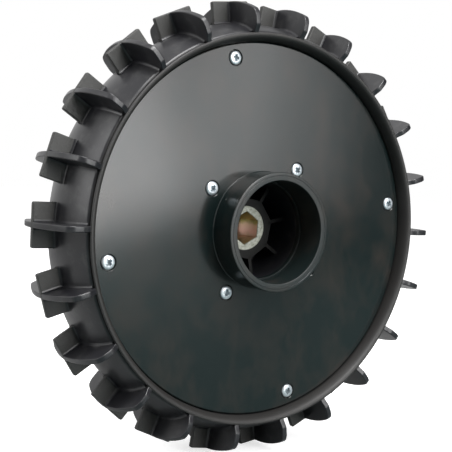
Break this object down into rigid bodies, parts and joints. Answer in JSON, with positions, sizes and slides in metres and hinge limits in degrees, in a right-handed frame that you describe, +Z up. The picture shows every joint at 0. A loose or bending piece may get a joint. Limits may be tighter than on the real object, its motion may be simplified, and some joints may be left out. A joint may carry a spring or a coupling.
{
  "type": "lugged drive wheel",
  "caption": "Black moulded traction wheel with staggered cross-shaped tread lugs, a screwed side cover with a collar, and a steel bush with a hexagonal drive socket.",
  "frame": {"origin": "on the axle, 25 mm behind the face of the rim's lip, inside the hexagonal socket", "axes": "+Y along the axle away from the cover and its collar, +Z up between two lugs, +X to the right seen from the collar's side"},
  "size_m": [0.249, 0.0637, 0.2498],
  "materials": {
    "wheel_plastic": "fine moulded grain, satin",
    "cover_plastic": "smooth satin with faint handling marks",
    "bush_steel": "zinc plated, yellowish inside the socket",
    "screw_zinc": "bright zinc"
  },
  "bodies": {
    "root": {"wheel_body": "wheel_plastic", "side_cover": "cover_plastic", "hex_drive_bush": "bush_steel", "outer_screw_1": "screw_zinc", "outer_screw_2": "screw_zinc", "outer_screw_3": "screw_zinc", "outer_screw_4": "screw_zinc", "inner_screw_1": "screw_zinc", "inner_screw_2": "screw_zinc", "inner_screw_3": "screw_zinc", "inner_screw_4": "screw_zinc"}
  },
  "joints": []
}
